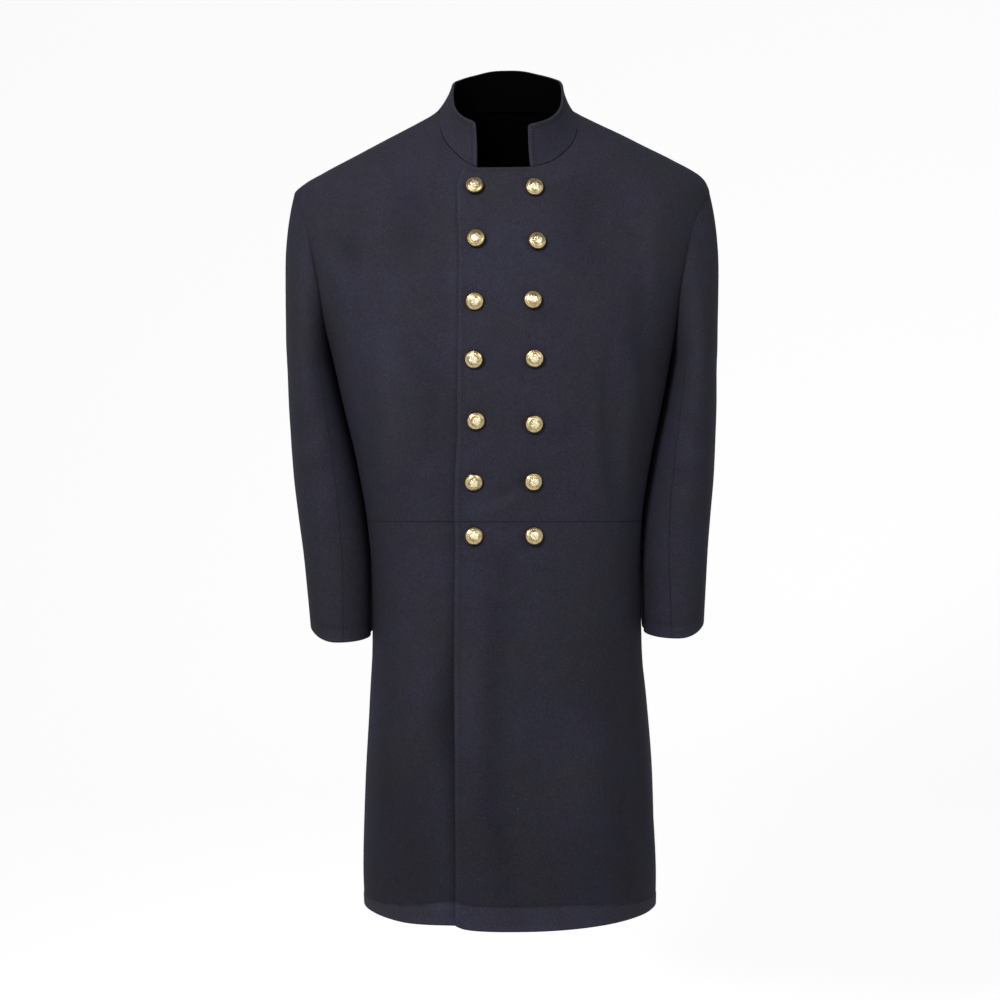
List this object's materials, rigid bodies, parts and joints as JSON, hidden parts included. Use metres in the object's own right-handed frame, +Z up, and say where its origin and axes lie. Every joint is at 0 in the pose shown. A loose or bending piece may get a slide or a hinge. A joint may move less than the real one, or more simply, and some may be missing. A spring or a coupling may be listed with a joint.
{
  "type": "frock coat",
  "caption": "Knee-length double-breasted naval officer's frock coat, dark navy wool, stand collar, waist seam, flared skirt, brass dome buttons, worn-shaped and empty",
  "frame": {"origin": "the middle of the neck, level with the inner ends of the shoulders: where the wearer carries the coat", "axes": "+Z up along the coat's length, front faces -Y, the wearer's left is +X"},
  "size_m": [0.5419, 0.364, 1.0545],
  "materials": {
    "wool": "dark navy milled wool with a short dull nap",
    "lining": "black twill lining",
    "brass": "polished stamped brass, slightly aged in the hollows"
  },
  "bodies": {
    "root": {"front_left": "wool", "side_body_left": "wool", "back_left": "wool", "skirt_left": "wool", "top_sleeve_left": "wool", "under_sleeve_left": "wool", "front_right": "wool", "side_body_right": "wool", "back_right": "wool", "skirt_right": "wool", "top_sleeve_right": "wool", "under_sleeve_right": "wool", "collar": "wool", "collar_lining": "lining", "back_lining": "lining", "button_edge_1": "brass", "button_far_1": "brass", "button_edge_2": "brass", "button_far_2": "brass", "button_edge_3": "brass", "button_far_3": "brass", "button_edge_4": "brass", "button_far_4": "brass", "button_edge_5": "brass", "button_far_5": "brass", "button_edge_6": "brass", "button_far_6": "brass", "button_edge_7": "brass", "button_far_7": "brass"}
  },
  "joints": []
}
